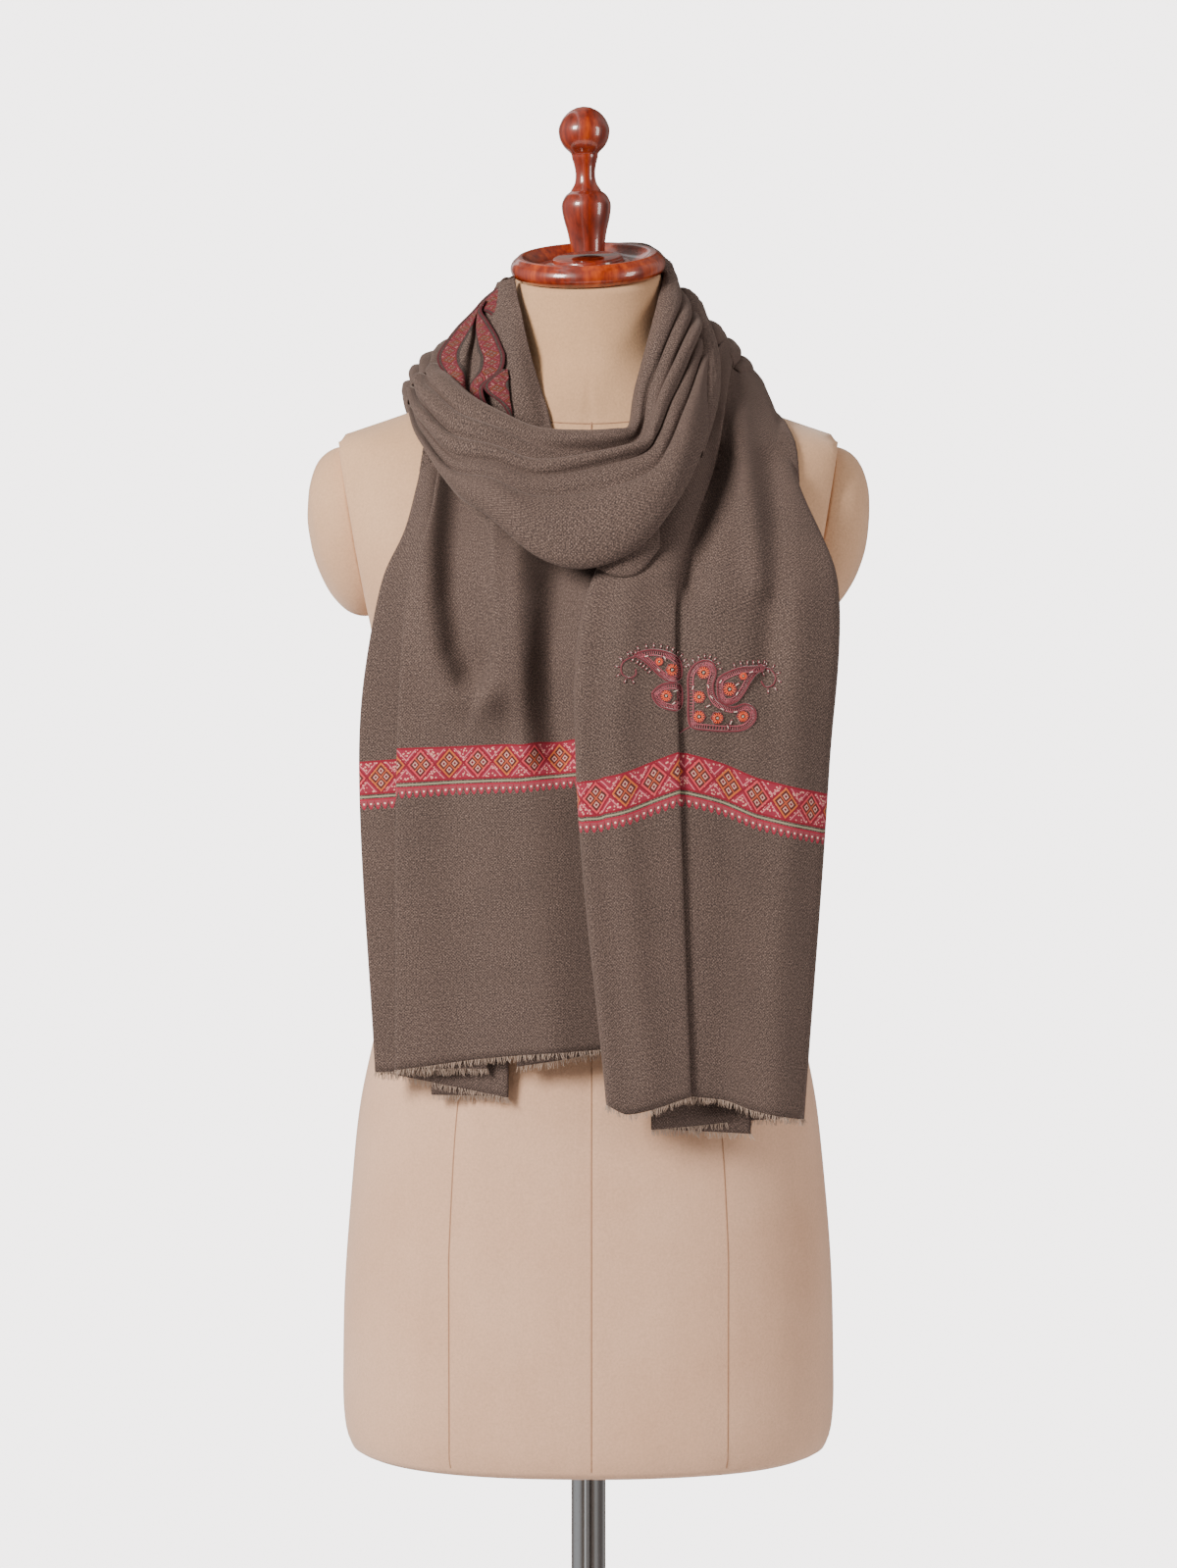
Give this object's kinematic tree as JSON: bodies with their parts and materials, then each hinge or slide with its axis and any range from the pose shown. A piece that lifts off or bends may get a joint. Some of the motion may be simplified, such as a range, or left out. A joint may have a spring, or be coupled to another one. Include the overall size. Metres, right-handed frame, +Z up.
{
  "type": "pashmina shawl on a dress form",
  "caption": "Long pleated pashmina shawl with a needlework border, wound round the neck of a limbless dress form on a pole stand.",
  "frame": {"origin": "on the floor, under the middle of the pole, at the underside of the base plate", "axes": "+Z up along the pole, -Y the front of the form, +X the left-hand side of the form as it would be worn, which is the right-hand side seen from the front"},
  "size_m": [0.3888, 0.35, 1.563],
  "materials": {
    "pashmina": "taupe fine wool twill with a soft nap",
    "form_cloth": "beige suede-like cover cloth",
    "turned_wood": "gloss red-brown varnish",
    "chrome": "polished plate"
  },
  "bodies": {
    "root": {"form_torso": "form_cloth", "arm_cap_left": "form_cloth", "arm_cap_right": "form_cloth", "neck_plate": "turned_wood", "neck_finial": "turned_wood", "pole": "chrome", "pole_washer": "chrome", "pole_socket": "chrome", "base_plate": "chrome", "shawl_tail_left": "pashmina", "shawl_tail_right": "pashmina", "shawl_left_rise": "pashmina", "shawl_neck_band": "pashmina", "shawl_cowl": "pashmina", "shawl_cowl_tip": "pashmina", "shawl_back_wrap": "pashmina"}
  },
  "joints": []
}
